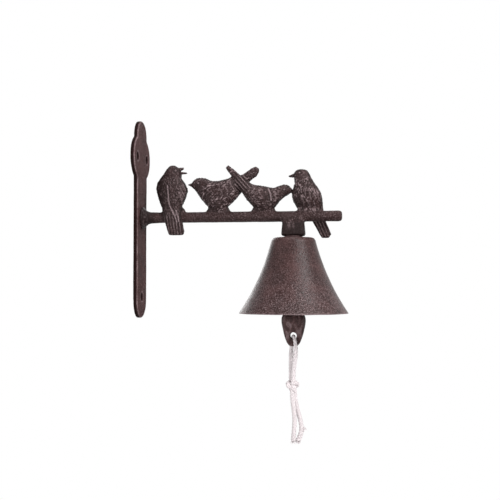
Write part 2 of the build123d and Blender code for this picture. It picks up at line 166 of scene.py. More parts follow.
# Painted iron: its colours, and the sizes of its grain in millimetres
IRON_DARK = (0.021, 0.0096, 0.0092, 1)
IRON_BROWN = (0.064, 0.03, 0.029, 1)
# Pale iron for worn ridges and grains, and for painted highlights
IRON_PALE_PAINT_AND_HIGHLIGHT = (0.27, 0.2, 0.207, 1)
# Near-black iron for painted shade, and for dark streaks of paint
IRON_SHADE_AND_DARK_PAINT = (0.009, 0.0042, 0.0038, 1)
PAINT_CLOUD = 14.0
SAND_GRAIN = 1.1
GRIT_GRAIN = 0.55
PIT_PITCH = 2.1
PAINT_BLEND = 0.16

# Bright grains growing towards the bell's rim, as wear and as painted light from above, and a painted highlight
# along the rim: heights above its rim in millimetres, and strengths
RIM_WEAR_AND_LIGHT_START = 50
RIM_WEAR_AND_LIGHT_FULL = 4
RIM_LINE_START = 1.4
RIM_LINE_FULL = 0.6
RIM_LINE_HIGHLIGHT = 0.3
CROWN_WEAR = 0.36

# Plated steel
STEEL_PLATING = (0.3, 0.29, 0.28, 1)
STEEL_BLOOM = (0.1, 0.062, 0.045, 1)
SCRATCH_STRETCH = (1, 1, 9)
SCRATCH_GRAIN = 0.9
BLOOM_SIZE = 5.0

# Cotton
COTTON_CLEAN = (0.77, 0.705, 0.72, 1)
COTTON_DULL = (0.66, 0.615, 0.618, 1)
COTTON_TAIL_SHADE = (0.66, 0.6, 0.61, 1)
COTTON_GROOVE_SHADE = (0.6, 0.53, 0.53, 1)
COTTON_FIBRE = (0.83, 0.77, 0.783, 1)
FIBRE_LEAN = (0.5, 0.2, 0)
FIBRE_STRETCH = (2.2, 2.2, 0.7)
FIBRE_GRAIN = 0.5
DIRT_SIZE = 7.0


def iron_finish(name, sparkle, relief=False, rim_z=None, tone=0.5, gloss=0.34, shine=0.22, bumps=0.5):
    """Brown painted cast iron: sandy skin, cloudy paint, bright grains, pale marks of wear and painted highlight,
    and painted shade.

    A higher tone is browner and a lower one darker. Towards the bell's rim its bright grains grow, as wear and as
    painted light from above, and a painted highlight runs along the rim's edge.
    """
    iron = Finish(name)
    place = iron.place()
    cloud = iron.noise(place, PAINT_CLOUD, detail=4.0)
    sand = iron.noise(place, SAND_GRAIN, detail=3.0, roughness=0.65)
    grit = iron.noise(place, GRIT_GRAIN, detail=2.0, roughness=0.6)
    pit = iron.pits(place, PIT_PITCH)
    mottle = cloud * 0.45 + sand * 0.55
    brown = iron.step(mottle, 1 - PAINT_BLEND - tone, 1 + PAINT_BLEND - tone)
    paint = iron.mix(brown, IRON_DARK, IRON_BROWN)
    grains = iron.step(sand * 0.6 + grit * 0.4, 0.52, 0.65) * sparkle
    if rim_z is not None:
        height = iron.node("ShaderNodeSeparateXYZ", inputs={"Vector": place}, output="Z")
        # More bright grains towards the rim: wear, and painted light where light from above falls on the flare
        worn_and_lit = iron.step(height, (rim_z + RIM_WEAR_AND_LIGHT_START) * MM, (rim_z + RIM_WEAR_AND_LIGHT_FULL) * MM)
        # Painted highlight along the rim's edge
        line = iron.step(height, (rim_z + RIM_LINE_START) * MM, (rim_z + RIM_LINE_FULL) * MM)
        grains = grains * (CROWN_WEAR + worn_and_lit) + line * RIM_LINE_HIGHLIGHT
    paint = iron.mix(grains, paint, IRON_PALE_PAINT_AND_HIGHLIGHT)
    skin = sand * 0.6 + grit * 0.3 + iron.step(pit, 0.0, 0.35) * 0.35
    if relief:
        # Painted shade from a vertex attribute: in hollows and creases, on flanks, the lug, the foot and the
        # plate's sides; on the clapper it also holds dark streaks of paint
        paint = iron.mix(iron.attribute("shade_and_dark_paint") * 0.9, paint, IRON_SHADE_AND_DARK_PAINT)
        # Pale wear and painted highlights from a vertex attribute, broken up by the sand
        wear_and_light = iron.attribute("pale_paint_and_highlight") * (0.35 + iron.step(sand, 0.36, 0.6) * 0.55)
        paint = iron.mix(wear_and_light, paint, IRON_PALE_PAINT_AND_HIGHLIGHT)
    return iron.surface(
        base_color=paint,
        roughness=gloss + iron.step(sand, 0.35, 0.7) * 0.2 + cloud * 0.08,
        metallic=0.0,
        specular_ior_level=shine,
        normal=iron.bump(skin, bumps),
    )


def steel_finish():
    """Dulled plated steel with brushed scratches and a little brown bloom."""
    steel = Finish("dull_steel")
    place = steel.place()
    scratch = steel.noise(steel.stretched(place, (0, 0, 0), SCRATCH_STRETCH), SCRATCH_GRAIN, detail=3.0)
    bloom = steel.step(steel.noise(place, BLOOM_SIZE, detail=4.0), 0.45, 0.7)
    return steel.surface(
        base_color=steel.mix(bloom * 0.7, STEEL_PLATING, STEEL_BLOOM),
        metallic=0.9 - bloom * 0.5,
        roughness=0.34 + scratch * 0.25,
        normal=steel.bump(scratch, 0.05, 0.6),
    )


def cotton_finish():
    """Soft white cotton: fine fibres, patches of dirt, painted shade in the grooves, and painted shade from the
    knot down, evening the well-lit knot and tails with the cord under the bell.
    """
    cotton = Finish("white_cotton")
    place = cotton.place()
    along_fibre = cotton.stretched(place, FIBRE_LEAN, FIBRE_STRETCH)
    fibre = cotton.noise(along_fibre, FIBRE_GRAIN, detail=3.0, roughness=0.65)
    dirt = cotton.step(cotton.noise(place, DIRT_SIZE, detail=3.0), 0.42, 0.72)
    colour = cotton.mix(dirt * 0.5, COTTON_CLEAN, COTTON_DULL)
    # Painted shade from the knot downwards, where the cord stands in more light than under the bell
    colour = cotton.mix(cotton.attribute("tail_shade") * 0.75, colour, COTTON_TAIL_SHADE)
    # Painted shade in the grooves between the strands
    colour = cotton.mix(cotton.attribute("groove_shade") * 0.14, colour, COTTON_GROOVE_SHADE)
    colour = cotton.mix(cotton.step(fibre, 0.5, 0.75) * 0.35, colour, COTTON_FIBRE)
    return cotton.surface(
        base_color=colour,
        roughness=0.95,
        specular_ior_level=0.15,
        sheen_weight=0.35,
        normal=cotton.bump(fibre, 0.25, 0.8),
    )


# Modelling helpers

CASTING_WELD = 0.005
SPIN_WELD = 0.01
SKIN_WAVE = 11.0
SKIN_SAND = 2.2


def ramp(value, low, high):
    """0 at low, 1 at high, and straight between."""
    return min(max((value - low) / (high - low), 0), 1)


def smooth_step(values, low, high):
    """0 below low, 1 above high, and smooth between, for an array."""
    share = np.clip((values - low) / (high - low), 0, 1)
    return share * share * (3 - 2 * share)


def hump(distance, width):
    """1 at no distance, and falling smoothly to 0 over about twice the width."""
    return np.exp(-((distance / width) ** 2))


def deselect():
    bpy.ops.object.select_all(action="DESELECT")


def activate(piece):
    deselect()
    piece.select_set(True)
    bpy.context.view_layer.objects.active = piece


def add_object(name, data):
    item = bpy.data.objects.new(name, data)
    bpy.context.collection.objects.link(item)
    return item


def finish_piece(piece, material, body, node=None):
    """Gives a piece its material, lets it ride on a body, and lets it stand for a node."""
    piece.data.materials.clear()
    piece.data.materials.append(material)
    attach(piece, body)
    if node:
        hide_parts(node)


def mesh_piece(name, points, faces=(), edges=()):
    mesh = bpy.data.meshes.new(name)
    mesh.from_pydata([Vector(point) * MM for point in points], edges, faces)
    return add_object(name, mesh)


def add_curve(name, steps):
    curve = bpy.data.curves.new(name, "CURVE")
    curve.dimensions = "3D"
    curve.resolution_u = steps
    return curve


def add_run(curve, points):
    """Adds a smooth line to a curve. Its points in millimetres control it, and it starts and ends on them."""
    run = curve.splines.new("NURBS")
    run.points.add(len(points) - 1)
    for control, point in zip(run.points, points):
        control.co = (*(point * MM), 1)
    run.order_u = 3
    run.use_endpoint_u = True
    return run


def apply_modifier(piece, kind, **settings):
    activate(piece)
    modifier = piece.modifiers.new(kind.lower(), kind)
    for name, value in settings.items():
        setattr(modifier, name, value)
    bpy.ops.object.modifier_apply(modifier=modifier.name)


def read_points(piece):
    """Vertex places in millimetres and unit normals, as arrays."""
    count = len(piece.data.vertices)
    places = np.empty(count * 3)
    normals = np.empty(count * 3)
    piece.data.vertices.foreach_get("co", places)
    piece.data.vertices.foreach_get("normal", normals)
    return places.reshape(-1, 3) / MM, normals.reshape(-1, 3)


def write_points(piece, places):
    piece.data.vertices.foreach_set("co", (places * MM).ravel())
    piece.data.update()


def write_attribute(piece, name, values):
    layer = piece.data.attributes.new(name, "FLOAT", "POINT")
    layer.data.foreach_set("value", np.asarray(values, dtype=np.float32))


def lumps(places, size_mm, seed):
    """Smooth noise about -1 to 1 at each place."""
    shift = Vector((seed, 3.7 * seed, -1.3 * seed))
    return np.array([noise.noise(Vector(place) / size_mm + shift) for place in places])


def casting(name, node, voxel_mm, soften, swell_mm, hold=None):
    """Copy of a CAD node with the soft edges of a sand casting. hold(places) is 1 where detail must stay.

    Softening shrinks the piece a little, and the swell gives that back.
    """
    piece = add_object(name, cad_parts[node].data.copy())
    activate(piece)
    bpy.ops.object.mode_set(mode="EDIT")
    bpy.ops.mesh.select_all(action="SELECT")
    bpy.ops.mesh.remove_doubles(threshold=CASTING_WELD * MM)
    bpy.ops.object.mode_set(mode="OBJECT")
    if piece.data.has_custom_normals:
        bpy.ops.mesh.customdata_custom_splitnormals_clear()
    apply_modifier(piece, "REMESH", mode="VOXEL", voxel_size=voxel_mm * MM)
    places, _ = read_points(piece)
    group = piece.vertex_groups.new(name="soft")
    weights = np.ones(len(places)) if hold is None else 1 - hold(places)
    for index, weight in enumerate(weights):
        group.add([index], float(weight), "REPLACE")
    apply_modifier(piece, "SMOOTH", factor=0.5, iterations=soften, vertex_group="soft")
    piece.vertex_groups.clear()
    bpy.ops.object.shade_smooth()
    places, normals = read_points(piece)
    write_points(piece, places + normals * swell_mm)
    return piece


def roughen(piece, wave_mm, sand_mm):
    """Uneven skin of a sand casting, as real shape."""
    places, normals = read_points(piece)
    skin = wave_mm * lumps(places, SKIN_WAVE, 1.0) + sand_mm * lumps(places, SKIN_SAND, 2.0)
    write_points(piece, places + normals * skin[:, None])


# Birds


class Bird:
    """Where one bird's feathers lie, in millimetres from its perch along the branch and above its top.

    Its wear and painted light brighten the feathers, and painted shade darkens its side towards the wall. The
    beak's reach comes last.
    """

    def __init__(self, perch, wear_and_light, left_painted_shade, flow, eye, beak, wings, strokes, tail, head):
        self.perch = perch
        self.wear_and_light = wear_and_light
        self.left_painted_shade = left_painted_shade
        self.flow = Vector(flow).normalized()
        self.eye = eye
        self.beak = beak
        self.wings = wings
        self.strokes = strokes
        self.tail = tail
        self.head = head


BIRDS = (
    Bird(
        PERCHES[0],
        wear_and_light=0.26,
        left_painted_shade=0.85,
        flow=(0.22, -1.0),
        eye=(2.6, 38.2),
        beak=(9.0, 38.0, 5.5),
        wings=[
            [(-4.2, 24.0), (-3.5, 19.7), (-3.1, 12.4), (-2.1, 6.0), (0.2, 1.4), (2.5, -3.2), (5.0, -9.6)],
            [(4.0, 1.0), (6.6, -9.0)],
        ],
        strokes=[
            [(9.5, 25.2), (11.8, 19.7)],
            [(8.1, 21.5), (10.4, 15.1)],
            [(6.7, 17.9), (8.5, 10.5)],
            [(9.6, 14.2), (8.6, 7.8)],
        ],
        tail=((0.6, -2.0), (3.2, -21.0)),
        head=(-0.6, 38.0),
    ),
    Bird(
        PERCHES[1],
        wear_and_light=0.9,
        left_painted_shade=0.35,
        flow=(0.86, 0.32),
        eye=(-17.8, 26.2),
        beak=(-27.0, 25.4, 5.0),
        wings=[],
        strokes=[
            [(3.5, 19.7), (5.4, 14.2)],
            [(7.2, 23.4), (10.0, 17.9)],
            [(11.9, 25.2), (15.6, 19.7)],
            [(16.5, 23.6), (19.3, 18.8)],
            [(9.1, 15.1), (12.8, 11.5)],
            [(13.0, 17.6), (16.0, 14.0)],
        ],
        tail=((20.0, 25.0), (37.5, 38.4)),
        head=(-18.4, 24.6),
    ),
    Bird(
        PERCHES[2],
        wear_and_light=0.5,
        left_painted_shade=0.15,
        flow=(-0.82, 0.42),
        eye=(19.6, 19.4),
        beak=(27.5, 18.5, 3.0),
        wings=[[(4.8, 20.6), (7.2, 15.5), (8.0, 9.6)]],
        strokes=[
            [(-2.0, 19.0), (-5.6, 14.6)],
            [(-7.0, 21.0), (-10.4, 16.6)],
            [(0.6, 14.6), (-2.4, 10.4)],
        ],
        tail=((-14.0, 20.0), (-33.5, 41.5)),
        head=(20.6, 18.2),
    ),
    Bird(
        PERCHES[3],
        wear_and_light=0.75,
        left_painted_shade=0.25,
        flow=(0.12, -1.0),
        eye=(-8.4, 34.6),
        beak=(-15.5, 32.4, 4.5),
        wings=[],
        strokes=[
            [(-7.2, 23.4), (-6.3, 16.0)],
            [(-3.5, 21.5), (-2.6, 13.3)],
            [(0.2, 19.7), (2.0, 10.5)],
            [(3.9, 20.6), (6.2, 10.5)],
            [(6.7, 19.7), (9.5, 8.7)],
            [(-5.4, 12.4), (-4.4, 5.0)],
            [(-0.7, 8.7), (1.1, 3.2)],
            [(4.6, 8.6), (5.8, 3.0)],
        ],
        tail=((6.0, -3.0), (14.6, -24.0)),
        head=(-6.4, 33.4),
    ),
)

# Where the birds begin above the branch, how low their tails hang, and where two tails cross
BIRD_START = 0.2
BIRD_FULL = 2.0
TAIL_DROP = 22
CROSSING_HEIGHT = 17
CROSSING_START = 16
CROSSING_END = 14
CROSSING_DEPTH = 0.3

# Relief of the feathers, tails, wings and eyes
BEAK_HOLD = 0.94
TAIL_REACH = 8.0
RIB_PITCH = 2.7
RIB_HEIGHT = 0.3
HEAD_NEAR = 4.0
HEAD_FAR = 7.5
FEATHER_LENGTH = 2.3
FEATHER_WIDTH = 2.3
FEATHER_DEPTH = 0.7
FEATHER_OVERLAP = 1.9
BARB_LENGTH = 2.1
BARB_WIDTH = 0.85
WANDER_SIZE = 3.5
PATCH_SIZE = 6.0
RIDGE_HEIGHT = 0.6
RIDGE_WIDTH = 0.46
TRENCH_AWAY = 1.3
TRENCH_WIDTH = 0.6
TRENCH_DEPTH = 0.22
EYE_RADIUS = 0.85
EYE_HEIGHT = 0.55
EYE_GLEAM = 0.7
EYE_RING = 1.5
EYE_RING_WIDTH = 0.45
EYE_RING_DEPTH = 0.35

# The lug, darkened with painted shade, and its two upright painted highlights: place, width and strength
LUG_REACH = 13.0
LUG_PAINTED_GLEAMS = ((-3.4, 1.3, 1.0), (0.6, 0.9, 0.8))
GLEAM_LOW = 8
GLEAM_HIGH = 4

# The foot: how far it reaches, how much thicker it is, and where its painted shade next to the plate ends
FOOT_START = 5.0
FOOT_END = 24.0
FOOT_THICKER_BELOW = 0.16
FOOT_THICKER_ABOVE = 0.1
FOOT_SHADE_START = 9
FOOT_SHADE_END = 24


def line_distance(points, along, up):
    """Distance in the branch's plane from each place to a run of points."""
    nearest = np.full(len(along), np.inf)
    for (x0, z0), (x1, z1) in zip(points, points[1:]):
        dx, dz = x1 - x0, z1 - z0
        share = np.clip(((along - x0) * dx + (up - z0) * dz) / (dx * dx + dz * dz), 0, 1)
        nearest = np.minimum(nearest, np.hypot(along - x0 - share * dx, up - z0 - share * dz))
    return nearest


def scallops(down, across, length, width):
    """Overlapping feather tips: each is low at its root and high at its rounded tip, from 0 to 1."""
    height = np.zeros(len(down))
    row = np.floor(down / length)
    for back in (2, 1, 0):
        this_row = row - back
        shifted = across / width + 0.5 * (this_row % 2)
        side = (shifted - np.floor(shifted) - 0.5) * 2
        reach = down - this_row * length
        tip = FEATHER_OVERLAP * length * np.sqrt(np.clip(1 - 0.85 * side**2, 0, 1))
        inside = reach < tip
        rise = np.clip(reach / (FEATHER_OVERLAP * length), 0, 1)
        shaft = 0.25 * hump(side, 0.12) * rise
        height = np.where(inside & (height == 0), 0.15 + 0.7 * rise + shaft, height)
    return height


def bird_owner(places):
    """Number of the bird that each place belongs to. The crossed tails are told apart by front and back."""
    along = places[:, 0]
    owner = np.clip(np.round((along - PERCHES[0]) / (PERCHES[1] - PERCHES[0])), 0, 3).astype(int)
    high = places[:, 2] > BRANCH_RADIUS + CROSSING_HEIGHT
    crossed = high & (along > PERCHES[1] + CROSSING_START) & (along < PERCHES[2] - CROSSING_END)
    return np.where(crossed, np.where(places[:, 1] < CROSSING_DEPTH, 2, 1), owner)


def beak_hold(places):
    """Nearly 1 on the beaks, which smoothing would wear away."""
    hold = np.zeros(len(places))
    for bird in BIRDS:
        along, up, reach = bird.beak
        from_beak = np.hypot(places[:, 0] - (bird.perch + along), places[:, 2] - (BRANCH_RADIUS + up))
        hold = np.maximum(hold, 1 - smooth_step(from_beak, 0.6 * reach, reach))
    return hold * BEAK_HOLD


def carve_bird(bird, places, normals, wander, patchy, seed):
    """Lift, pale marks of wear and painted highlight, and painted shade at the places of one bird."""
    x = places[:, 0] - bird.perch
    z = places[:, 2] - BRANCH_RADIUS
    facing = smooth_step(np.abs(normals[:, 1]), 0.1, 0.5)

    (tx, tz), (ex, ez) = bird.tail
    length = hypot(ex - tx, ez - tz)
    ux, uz = (ex - tx) / length, (ez - tz) / length
    tail_down = (x - tx) * ux + (z - tz) * uz
    tail_across = (z - tz) * ux - (x - tx) * uz
    tail = smooth_step(tail_down, -3, 4) * (np.abs(tail_across) < TAIL_REACH)
    ribs = np.cos(2 * pi * tail_across / RIB_PITCH + 0.4 * wander)

    down = x * bird.flow.x + z * bird.flow.y + 1.1 * wander
    across = z * bird.flow.x - x * bird.flow.y + 0.9 * wander
    from_head = np.hypot(x - bird.head[0], z - bird.head[1])
    on_head = 1 - smooth_step(from_head, HEAD_NEAR, HEAD_FAR)
    barbs = np.column_stack((down / BARB_LENGTH, across / BARB_WIDTH, places[:, 1] / BARB_LENGTH))
    barbs = 0.5 + 1.1 * lumps(barbs, 1.0, seed)
    plume = np.clip(0.42 * scallops(down, across, FEATHER_LENGTH, FEATHER_WIDTH) + 0.58 * barbs, 0, 1)
    body = (1 - tail) * (1 - 0.75 * on_head)

    lift = (plume - 0.5) * FEATHER_DEPTH * body * patchy + tail * facing * RIB_HEIGHT * ribs
    # Pale marks of wear and painted highlight: feather tips, brighter on birds given more of both, and the tail's
    # ribs; wing edges and strokes below as well
    bright = 1.25 * bird.wear_and_light * body * smooth_step(plume * patchy, 0.56, 0.76)
    bright = bright + tail * facing * smooth_step(ribs * patchy, 0.55, 1.0)
    # Painted shade between the feathers and the tail's ribs; wing trenches get it below
    painted_shade = 0.9 * body * (1 - smooth_step(plume, 0.26, 0.5))
    painted_shade = painted_shade + tail * facing * (1 - smooth_step(ribs, -0.95, -0.3))
    for run in bird.wings:
        near = line_distance(run, x, z)
        edge = hump(near, RIDGE_WIDTH) * facing
        trench = hump(near - TRENCH_AWAY, TRENCH_WIDTH) * facing
        lift = lift + RIDGE_HEIGHT * edge - TRENCH_DEPTH * trench
        bright = bright + 1.5 * edge
        painted_shade = painted_shade + 0.6 * trench
    for run in bird.strokes:
        edge = hump(line_distance(run, x, z), 0.9 * RIDGE_WIDTH) * facing
        lift = lift + 0.7 * RIDGE_HEIGHT * edge
        bright = bright + 0.5 * edge

    from_eye = np.hypot(x - bird.eye[0], z - bird.eye[1])
    ring = hump(from_eye - EYE_RING, EYE_RING_WIDTH)
    lift = lift + facing * (EYE_HEIGHT * hump(from_eye, EYE_RADIUS) - EYE_RING_DEPTH * ring)
    # Painted glint on each eye
    bright = bright + facing * hump(from_eye, EYE_GLEAM)
    # Painted shade on the flanks, which turn aside, in the ring round each eye and on the side towards the wall;
    # highlights are dimmed on the flanks
    flank = 1 - smooth_step(np.abs(normals[:, 1]), 0.25, 0.86)
    painted_shade = painted_shade + facing * ring + 0.95 * flank + bird.left_painted_shade * (1 - smooth_step(x, -10, -1))
    bright = bright * (1 - 0.45 * flank)
    return lift, np.clip(bright, 0, 1), np.clip(painted_shade, 0, 1)


def feather(piece):
    """Carves feathers, wing edges, tail ribs and eyes, and keeps their pale wear, painted highlights and painted
    shade for the finish.
    """
    places, normals = read_points(piece)
    height = np.zeros(len(places))
    pale_paint_and_highlight = np.zeros(len(places))
    shade_and_dark_paint = np.zeros(len(places))
    owner = bird_owner(places)
    wander = lumps(places, WANDER_SIZE, 5.0)
    patchy = 0.85 + 0.3 * lumps(places, PATCH_SIZE, 8.0)
    for number, bird in enumerate(BIRDS):
        mine = owner == number
        carved = carve_bird(bird, places[mine], normals[mine], wander[mine], patchy[mine], 3.0 + number)
        height[mine], pale_paint_and_highlight[mine], shade_and_dark_paint[mine] = carved

    from_axis = np.hypot(places[:, 1], places[:, 2])
    on_bird = smooth_step(from_axis, BRANCH_RADIUS + BIRD_START, BRANCH_RADIUS + BIRD_FULL)
    on_bird = on_bird * (places[:, 2] > -BRANCH_RADIUS - TAIL_DROP)
    from_lug = places[:, 0] - bell_x
    on_lug = (np.abs(from_lug) < LUG_REACH) * smooth_step(-places[:, 2], BRANCH_RADIUS, BRANCH_RADIUS + BIRD_FULL)
    # Two painted highlights running upright on the lug
    painted_gleam = sum(strength * hump(from_lug - middle, width) for middle, width, strength in LUG_PAINTED_GLEAMS)
    painted_gleam = painted_gleam * on_lug * smooth_step(places[:, 2], -BRANCH_RADIUS - GLEAM_LOW, -BRANCH_RADIUS - GLEAM_HIGH)
    # Painted shade on the foot, next to the plate
    on_foot = 1 - smooth_step(places[:, 0], FOOT_SHADE_START, FOOT_SHADE_END)
    on_bird = on_bird * (1 - on_lug)
    # Painted shade between the feathers, on the lug under the branch and on the foot; the lug's painted highlights
    # lighten it
    painted_shade = shade_and_dark_paint * on_bird + (0.9 - 0.5 * painted_gleam) * on_lug + 0.7 * on_foot
    write_points(piece, places + normals * (height * on_bird)[:, None])
    write_attribute(piece, "pale_paint_and_highlight", pale_paint_and_highlight * on_bird + 0.3 * painted_gleam)
    write_attribute(piece, "shade_and_dark_paint", np.clip(painted_shade, 0, 1))


def flare_foot(piece):
    """Thickens the branch softly towards the plate, as the casting's foot."""
    places, _ = read_points(piece)
    share = 1 - smooth_step(places[:, 0], FOOT_START, FOOT_END)
    thicker = np.where(places[:, 2] < 0, FOOT_THICKER_BELOW, FOOT_THICKER_ABOVE)
    places[:, 1:] *= 1 + (share * thicker)[:, None]
    write_points(piece, places)


def make_bird_branch():
    piece = casting("bird_casting", "bird_branch", voxel_mm=0.5, soften=34, swell_mm=0.2, hold=beak_hold)
    flare_foot(piece)
    feather(piece)
    roughen(piece, wave_mm=0.14, sand_mm=0.06)
    finish = iron_finish("bird_iron", sparkle=0.4, relief=True, tone=0.36, shine=0.12)
    finish_piece(piece, finish, "bracket", "bird_branch")


# Bell, wall plate and clapper

ARC_STEPS = 52
SPIN_STEPS = 216
RIM_BEVEL = 0.7
SINK_EDGE = 0.4
STREAK_STRETCH = (1.0, 1.0, 0.35)
STREAK_SIZE = 3.2
PLATE_WEAR_SIZE = 9.0


def arc_points(start, middle, end, steps):
    """Points along the circle through three points, both ends included."""
    (ax, ay), (bx, by), (cx, cy) = start, middle, end
    d = 2 * (ax * (by - cy) + bx * (cy - ay) + cx * (ay - by))
    a2, b2, c2 = ax * ax + ay * ay, bx * bx + by * by, cx * cx + cy * cy
    centre_x = (a2 * (by - cy) + b2 * (cy - ay) + c2 * (ay - by)) / d
    centre_y = (a2 * (cx - bx) + b2 * (ax - cx) + c2 * (bx - ax)) / d
    centre = Vector((centre_x, centre_y))
    first, last = Vector(start) - centre, Vector(end) - centre
    turn = first.angle_signed(last)
    return [centre + Matrix.Rotation(-turn * step / steps, 2) @ first for step in range(steps + 1)]


def bell_profile():
    """Closed outline of the bell's wall, as radius and height from the top of its crown."""
    side = Vector((bell_mouth_radius - BELL_SHOULDER_RADIUS, -bell_height))
    inward = Vector((side.y, -side.x)).normalized()
    outer_top = Vector((BELL_SHOULDER_RADIUS, 0))
    outer_rim = Vector((bell_mouth_radius, -bell_height))
    outer_waist = outer_top + side * 0.5 + inward * BELL_HOLLOW
    inner_rim = outer_rim - Vector((BELL_WALL, 0))
    inner_waist = outer_waist + inward * BELL_WALL
    inner_top = Vector((BELL_SHOULDER_RADIUS - BELL_WALL, -BELL_CROWN))
    outside = arc_points(outer_top, outer_waist, outer_rim, ARC_STEPS)
    inside = arc_points(inner_rim, inner_waist, inner_top, ARC_STEPS)
    half_crown = 0.5 * BELL_SHOULDER_RADIUS
    round_corner = 0.3 * BELL_CROWN_ROUND
    return [
        Vector((BELL_BORE, 0)),
        Vector((half_crown, 0)),
        Vector((BELL_SHOULDER_RADIUS - BELL_CROWN_ROUND, 0)),
        Vector((BELL_SHOULDER_RADIUS - round_corner, -round_corner)),
        *(point for point in outside if point.y < -BELL_CROWN_ROUND),
        *inside,
        Vector((half_crown, -BELL_CROWN)),
        Vector((BELL_BORE, -BELL_CROWN)),
    ]


def make_bell():
    points = [(bell_x + point.x, 0, bell_top + point.y) for point in bell_profile()]
    count = len(points)
    piece = mesh_piece("cast_bell", points, edges=[(index, (index + 1) % count) for index in range(count)])
    activate(piece)
    bpy.ops.object.mode_set(mode="EDIT")
    bpy.ops.mesh.select_all(action="SELECT")
    bpy.ops.mesh.spin(steps=SPIN_STEPS, angle=2 * pi, center=(bell_x * MM, 0, 0), axis=(0, 0, 1))
    bpy.ops.mesh.select_all(action="SELECT")
    bpy.ops.mesh.remove_doubles(threshold=SPIN_WELD * MM)
    bpy.ops.mesh.normals_make_consistent(inside=False)
    bpy.ops.object.mode_set(mode="OBJECT")
    apply_modifier(
        piece, "BEVEL", width=RIM_BEVEL * MM, segments=3, limit_method="ANGLE", angle_limit=radians(40)
    )
    bpy.ops.object.shade_smooth()
    roughen(piece, wave_mm=0.12, sand_mm=0.05)
    rim_z = bell_top - bell_height
    finish = iron_finish("bell_iron", sparkle=0.52, rim_z=rim_z, tone=0.47, gloss=0.21, shine=0.16, bumps=0.28)
    finish_piece(piece, finish, "bracket", "bell")


def make_wall_plate():
    """Painted shade darkens the plate's narrow sides and its holes; wear and a painted highlight pale the edge of
    its face.
    """
    piece = casting("cast_wall_plate", "wall_plate", voxel_mm=0.5, soften=5, swell_mm=0.05)
    places, normals = read_points(piece)
    outward = normals[:, 0]
    # Wear and painted highlight along the rounded edge of the face
    pale_paint_and_highlight = smooth_step(outward, 0.4, 0.6) * (1 - smooth_step(outward, 0.95, 0.99))
    pale_paint_and_highlight = pale_paint_and_highlight * (0.3 + 0.4 * smooth_step(lumps(places, PLATE_WEAR_SIZE, 7.0), -0.3, 0.3))
    # Painted shade on the narrow sides
    shade_and_dark_paint = 1 - smooth_step(np.abs(outward), 0.3, 0.5)
    for y, z in WALL_HOLES:
        from_hole = np.hypot(places[:, 1] - y, places[:, 2] - z)
        pale_paint_and_highlight = pale_paint_and_highlight * smooth_step(from_hole, WALL_SINK_RADIUS, WALL_SINK_RADIUS + 0.5)
        # Painted highlight in a ring round each hole
        pale_paint_and_highlight = pale_paint_and_highlight + 0.8 * hump(from_hole - WALL_SINK_RADIUS - SINK_EDGE, SINK_EDGE) * (outward > 0)
        # Painted shade inside each hole
        shade_and_dark_paint = np.maximum(shade_and_dark_paint, 1 - smooth_step(from_hole, WALL_SINK_RADIUS - 0.8, WALL_SINK_RADIUS))
    write_attribute(piece, "pale_paint_and_highlight", np.clip(pale_paint_and_highlight, 0, 1))
    write_attribute(piece, "shade_and_dark_paint", shade_and_dark_paint)
    roughen(piece, wave_mm=0.14, sand_mm=0.05)
    finish = iron_finish("plate_iron", sparkle=0.3, relief=True, tone=0.5, gloss=0.5, shine=0.02)
    finish_piece(piece, finish, "bracket", "wall_plate")


def make_clapper():
    """The paint runs in pale and dark streaks down the clapper's flat sides, and painted shade darkens its edges.
    """
    piece = casting("cast_clapper", "clapper", voxel_mm=0.4, soften=10, swell_mm=0.1)
    places, normals = read_points(piece)
    facing = smooth_step(np.abs(normals[:, 1]), 0.35, 0.95)
    streaks = lumps(places * STREAK_STRETCH, STREAK_SIZE, 6.0)
    dark_streaks = facing * 0.5 * (1 - smooth_step(streaks, -0.45, -0.05))
    write_attribute(piece, "pale_paint_and_highlight", 0.5 * facing * smooth_step(streaks, -0.15, 0.45))
    # Painted shade on the edges, added to the dark streaks of paint
    write_attribute(piece, "shade_and_dark_paint", (1 - facing) * 0.6 + dark_streaks)
    roughen(piece, wave_mm=0.2, sand_mm=0.08)
    # The clapper's paint is lighter than the other iron, as painted light where the bell shades it
    finish = iron_finish("clapper_iron", sparkle=0.35, relief=True, tone=0.62, shine=0.14)
    finish_piece(piece, finish, "clapper", "clapper")


# Pull cord: points from the middle of the clapper's hole. It lies a little lower in the hole than the part's own
# cord, and its two runs hang a little wider apart below it.
FRONT_STRAND = [
    (0.0, 0.0, -0.6), (1.4, -6.2, -0.6), (2.8, -6.2, -12.0), (1.7, -5.0, -22.0), (-0.2, -2.0, -33.0),
    (-0.2, -2.0, -40.0), (-0.6, -1.8, -45.4), (-1.1, -1.6, -50.8), (-1.1, -1.6, -57.0), (0.1, -1.4, -66.0),
    (1.0, -1.0, -76.0), (0.3, -0.6, -86.0), (-0.4, -0.6, -94.6),
]
BACK_STRAND = [
    (0.0, 0.0, -0.6), (-1.4, 6.2, -0.6), (-2.8, 6.2, -12.0), (-2.9, 5.0, -22.0), (-2.6, 2.0, -33.0),
    (-2.6, 2.0, -40.0), (-0.8, 1.9, -45.4), (1.0, 1.8, -50.8), (1.0, 1.8, -57.0), (3.0, 1.7, -66.0),
    (5.6, 1.4, -75.0), (7.3, 1.0, -83.0), (6.2, 0.8, -90.0), (4.0, 0.8, -94.6),
]
CORD_HOLE_Z = -108.4
ROUTE_STEPS = 14
TAIL_SHADE_START = 16
TAIL_SHADE_FULL = 4

# Laid strands: offset and size are shares of the cord's radius, and so is the depth where a groove's painted shade
# is darkest
LAY_PITCH = 8.5
STRANDS = 3
STRAND_SIDES = 8
STRAND_OFFSET = 0.34
STRAND_SIZE = 0.67
GROOVE_START = 0.99
GROOVE_FULL = 0.77

